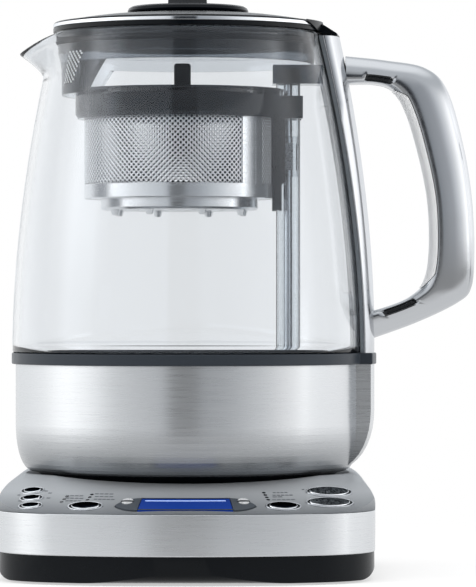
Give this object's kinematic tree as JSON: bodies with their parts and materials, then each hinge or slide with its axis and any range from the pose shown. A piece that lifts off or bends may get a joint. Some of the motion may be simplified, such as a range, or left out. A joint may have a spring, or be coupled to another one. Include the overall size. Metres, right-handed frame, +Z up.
{
  "type": "automatic tea maker",
  "caption": "Glass tea jug with lid, spout, handle and a tea basket on a lifting column, standing on a metal power base with a display and buttons.",
  "frame": {"origin": "middle of the whole object's footprint, on the surface that it stands on", "axes": "+Z up, -Y towards the controls, +X towards the handle, -X towards the spout"},
  "size_m": [0.2114, 0.184, 0.256],
  "materials": {
    "brushed_steel": "brushed stainless steel",
    "polished_steel": "polished stainless steel",
    "smoke_plastic": "smoked grey plastic, satin gloss",
    "black_plastic": "black plastic, soft gloss",
    "clear_glass": "clear borosilicate glass",
    "clear_plastic": "clear plastic",
    "display_glass": "blue display glass",
    "black_rubber": "black silicone rubber",
    "brass": "plain brass",
    "board": "green circuit board",
    "magnet": "plated magnet"
  },
  "bodies": {
    "power_base": {"base_tray": "black_plastic", "base_band": "brushed_steel", "base_top": "brushed_steel", "base_feet": "black_rubber", "base_screws": "polished_steel", "cord_inlet": "black_rubber", "power_connector": "black_plastic", "connector_contacts": "brass", "circuit_board": "board", "display_glass": "display_glass", "display_module": "black_plastic", "button_rings": "polished_steel", "indicator_windows": "clear_plastic"},
    "temperature_key": {"temperature_key": "smoke_plastic"},
    "time_key": {"time_key": "smoke_plastic"},
    "tea_type_button": {"tea_type_button": "polished_steel"},
    "strength_button": {"strength_button": "polished_steel"},
    "hot_water_button": {"hot_water_button": "polished_steel"},
    "start_button": {"start_button": "polished_steel"},
    "keep_warm_button": {"keep_warm_button": "polished_steel"},
    "clock_button": {"clock_button": "polished_steel"},
    "auto_start_button": {"auto_start_button": "polished_steel"},
    "jug_socket": {"jug_socket": "black_plastic", "socket_contacts": "brass"},
    "jug": {"jug_glass": "clear_glass", "jug_band": "smoke_plastic", "jug_bowl": "brushed_steel", "jug_underside": "black_plastic", "heating_plate": "brushed_steel", "heating_element": "brushed_steel", "thermostat": "black_plastic", "lift_motor": "brushed_steel", "lift_column": "polished_steel", "column_gland": "black_rubber", "column_head": "smoke_plastic", "handle_grip": "brushed_steel", "grip_liner": "smoke_plastic", "handle_pillar": "brushed_steel", "pillar_backing": "smoke_plastic", "pillar_hood": "black_plastic", "handle_screws": "polished_steel"},
    "lead_screw": {"lead_screw": "polished_steel"},
    "lift_carriage": {"lift_carriage": "black_plastic", "carriage_magnets": "magnet"},
    "basket": {"basket_collar": "smoke_plastic", "basket_arms": "smoke_plastic", "basket_wall": "polished_steel", "basket_floor": "polished_steel", "basket_magnets": "magnet"},
    "basket_cover": {"basket_lid": "polished_steel", "basket_lid_knob": "black_plastic"},
    "lid": {"lid_dome": "black_plastic", "lid_rim": "polished_steel", "lid_knob": "black_plastic", "lid_seal": "black_rubber", "lid_skirt": "smoke_plastic"}
  },
  "joints": [
    {"name": "jug_lift", "type": "slide", "parent": "power_base", "child": "jug_socket", "axis": [0, 0, 1], "range_m": [0, 0.15]},
    {"name": "jug_swivel", "type": "hinge", "parent": "jug_socket", "child": "jug", "pos_m": [-0.02315, 0.008, 0.05], "axis": [0, 0, 1], "continuous": true},
    {"name": "lid_lift", "type": "slide", "parent": "jug", "child": "lid", "axis": [0, 0, 1], "range_m": [0, 0.08]},
    {"name": "basket_travel", "type": "slide", "parent": "jug", "child": "basket", "axis": [0, 0, -1], "range_m": [0, 0.054]},
    {"name": "carriage_travel", "type": "slide", "parent": "jug", "child": "lift_carriage", "axis": [0, 0, -1], "range_m": [0, 0.054]},
    {"name": "screw_turn", "type": "hinge", "parent": "jug", "child": "lead_screw", "pos_m": [0.02185, 0.008, 0.15], "axis": [0, 0, 1], "range_deg": [0, 2430]},
    {"name": "basket_cover_lift", "type": "slide", "parent": "basket", "child": "basket_cover", "axis": [0, 0, 1], "range_m": [0, 0.01]},
    {"name": "tea_type_press", "type": "slide", "parent": "power_base", "child": "tea_type_button", "axis": [0.0989, 0.3274, -0.9397], "range_m": [0, 0.001], "stiffness_N_per_m": 800},
    {"name": "strength_press", "type": "slide", "parent": "power_base", "child": "strength_button", "axis": [-0.0966, 0.3281, -0.9397], "range_m": [0, 0.001], "stiffness_N_per_m": 800},
    {"name": "hot_water_press", "type": "slide", "parent": "power_base", "child": "hot_water_button", "axis": [-0.1456, 0.3095, -0.9397], "range_m": [0, 0.001], "stiffness_N_per_m": 800},
    {"name": "start_press", "type": "slide", "parent": "power_base", "child": "start_button", "axis": [-0.1574, 0.3037, -0.9397], "range_m": [0, 0.001], "stiffness_N_per_m": 800},
    {"name": "keep_warm_press", "type": "slide", "parent": "power_base", "child": "keep_warm_button", "axis": [0.1531, 0.3058, -0.9397], "range_m": [0, 0.001], "stiffness_N_per_m": 800},
    {"name": "clock_press", "type": "slide", "parent": "power_base", "child": "clock_button", "axis": [0.1616, 0.3014, -0.9397], "range_m": [0, 0.001], "stiffness_N_per_m": 800},
    {"name": "auto_start_press", "type": "slide", "parent": "power_base", "child": "auto_start_button", "axis": [0.172, 0.2956, -0.9397], "range_m": [0, 0.001], "stiffness_N_per_m": 800},
    {"name": "temperature_rock", "type": "hinge", "parent": "power_base", "child": "temperature_key", "pos_m": [-0.04835, -0.07846, 0.03356], "axis": [0.9849, -0.1731, 0], "range_deg": [-3, 3], "stiffness_Nm_per_rad": 0.2},
    {"name": "time_rock", "type": "hinge", "parent": "power_base", "child": "time_key", "pos_m": [0.00205, -0.07846, 0.03356], "axis": [0.9849, 0.1731, 0], "range_deg": [-3, 3], "stiffness_Nm_per_rad": 0.2}
  ],
  "couplings": [
    {"joint": "carriage_travel", "follows": "basket_travel", "ratio": 1},
    {"joint": "screw_turn", "follows": "basket_travel", "rad_per_m": 785.4}
  ]
}
